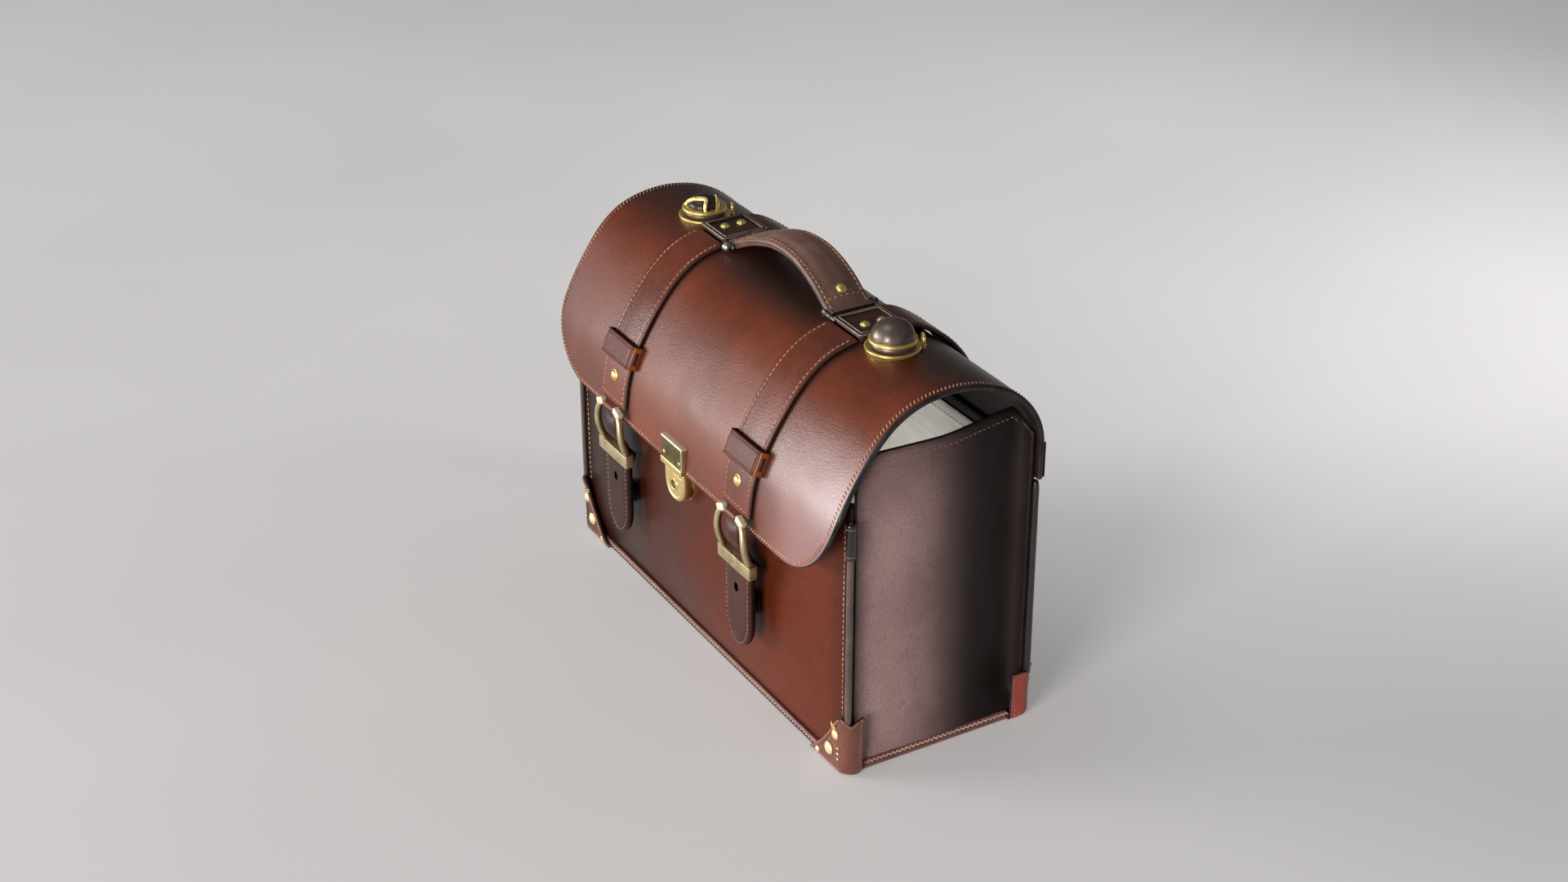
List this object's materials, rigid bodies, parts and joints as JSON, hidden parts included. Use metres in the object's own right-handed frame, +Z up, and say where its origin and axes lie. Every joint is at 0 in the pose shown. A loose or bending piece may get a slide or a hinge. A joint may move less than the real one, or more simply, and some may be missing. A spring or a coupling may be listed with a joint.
{
  "type": "doctor bag",
  "caption": "Leather doctor bag with a wrap-over flap hinged at the rear seam, buckle drops, a key lock, turning knobs and a carrying handle; opens to a lined body.",
  "frame": {"origin": "centre of the base's underside, on the floor (z = 0), midway between the two ends and the body's front and rear seams", "axes": "+X along the bag's length to the right seen from the front, the front with the lock faces -Y, +Z up"},
  "size_m": [0.413, 0.1913, 0.3124],
  "materials": {
    "leather_body": "smooth glossy red-brown bridle leather",
    "leather_gusset": "smooth dark brown leather",
    "leather_strap": "smooth brown strap leather, stitched edges",
    "leather_piping": "dark grey-brown piping leather",
    "leather_cap": "stiff moulded brown leather",
    "leather_keeper": "brown face, amber cut edges",
    "leather_handle": "grey-brown padded leather, stitched",
    "lining": "pale cotton lining",
    "board": "pressed fibre stiffener board",
    "brass_bright": "polished brass",
    "brass_antique": "antique brass, satin",
    "brass_pale": "pale satin brass",
    "dark_metal": "dark enamelled metal, satin",
    "pewter": "dark pewter lacquer, glossy",
    "steel": "brushed steel"
  },
  "bodies": {
    "body": {"front_panel": "leather_body", "back_panel": "leather_body", "base_panel": "leather_body", "base_board": "board", "gusset_left": "leather_gusset", "gusset_right": "leather_gusset", "lining": "lining", "piping_front_left": "leather_piping", "piping_front_right": "leather_piping", "piping_rear_left": "leather_piping", "piping_rear_right": "leather_piping", "piping_sleeves": "leather_piping", "corner_cap_front_left": "leather_cap", "corner_cap_front_right": "leather_cap", "corner_cap_rear_left": "leather_cap", "corner_cap_rear_right": "leather_cap", "corner_cap_rivets": "brass_bright", "base_welts_long": "leather_cap", "base_welts_short": "leather_cap", "flap_anchor": "leather_body", "rear_seam_strip": "leather_piping", "closure_plates": "steel", "lock_case": "brass_pale", "lock_backplate": "brass_pale"},
    "lid": {"flap": "leather_body", "lock_plate": "brass_antique", "strap_front_left": "leather_strap", "strap_front_right": "leather_strap", "strap_rear_left": "leather_strap", "strap_rear_right": "leather_strap", "keeper_left": "leather_keeper", "keeper_right": "leather_keeper", "tab_bezel_left": "dark_metal", "tab_bezel_right": "dark_metal", "tab_patch_left": "leather_strap", "tab_patch_right": "leather_strap", "lid_rivets": "brass_bright", "handle": "leather_handle", "handle_pin_left": "steel", "handle_pin_right": "steel", "lid_reinforcement_left": "leather_piping", "lid_reinforcement_right": "leather_piping", "knob_base_left": "brass_bright", "knob_base_right": "brass_bright"},
    "buckle_drop_left": {"buckle_left": "brass_antique", "tongue_left": "leather_strap", "closure_disc_left": "steel"},
    "buckle_drop_right": {"buckle_right": "brass_antique", "tongue_right": "leather_strap", "closure_disc_right": "steel"},
    "key_cylinder": {"lock_cylinder": "brass_bright"},
    "lock_bolt": {"lock_bolt": "steel"},
    "knob_left": {"knob_post_left": "dark_metal", "knob_band_left": "brass_bright", "knob_dome_left": "pewter"},
    "knob_right": {"knob_post_right": "dark_metal", "knob_band_right": "brass_bright", "knob_dome_right": "pewter"}
  },
  "joints": [
    {"name": "flap_hinge", "type": "hinge", "parent": "body", "child": "lid", "pos_m": [0, 0.085, 0.222], "axis": [-1, 0, 0], "range_deg": [0, 135]},
    {"name": "buckle_swing_left", "type": "hinge", "parent": "lid", "child": "buckle_drop_left", "pos_m": [-0.0939, -0.1039, 0.165], "axis": [-1, 0, 0], "range_deg": [0, 60]},
    {"name": "buckle_swing_right", "type": "hinge", "parent": "lid", "child": "buckle_drop_right", "pos_m": [0.0939, -0.1039, 0.165], "axis": [-1, 0, 0], "range_deg": [0, 60]},
    {"name": "key_turn", "type": "hinge", "parent": "body", "child": "key_cylinder", "pos_m": [0.0005, -0.099, 0.143], "axis": [0, 1, 0], "range_deg": [0, 90]},
    {"name": "bolt_slide", "type": "slide", "parent": "body", "child": "lock_bolt", "axis": [-1, 0, 0], "range_m": [0, 0.003]},
    {"name": "knob_turn_left", "type": "hinge", "parent": "lid", "child": "knob_left", "pos_m": [-0.133, 0, 0.29], "axis": [0, 0, 1], "continuous": true},
    {"name": "knob_turn_right", "type": "hinge", "parent": "lid", "child": "knob_right", "pos_m": [0.133, 0, 0.29], "axis": [0, 0, 1], "continuous": true}
  ],
  "couplings": [
    {"joint": "key_turn", "follows": "bolt_slide", "rad_per_m": 523.55}
  ]
}
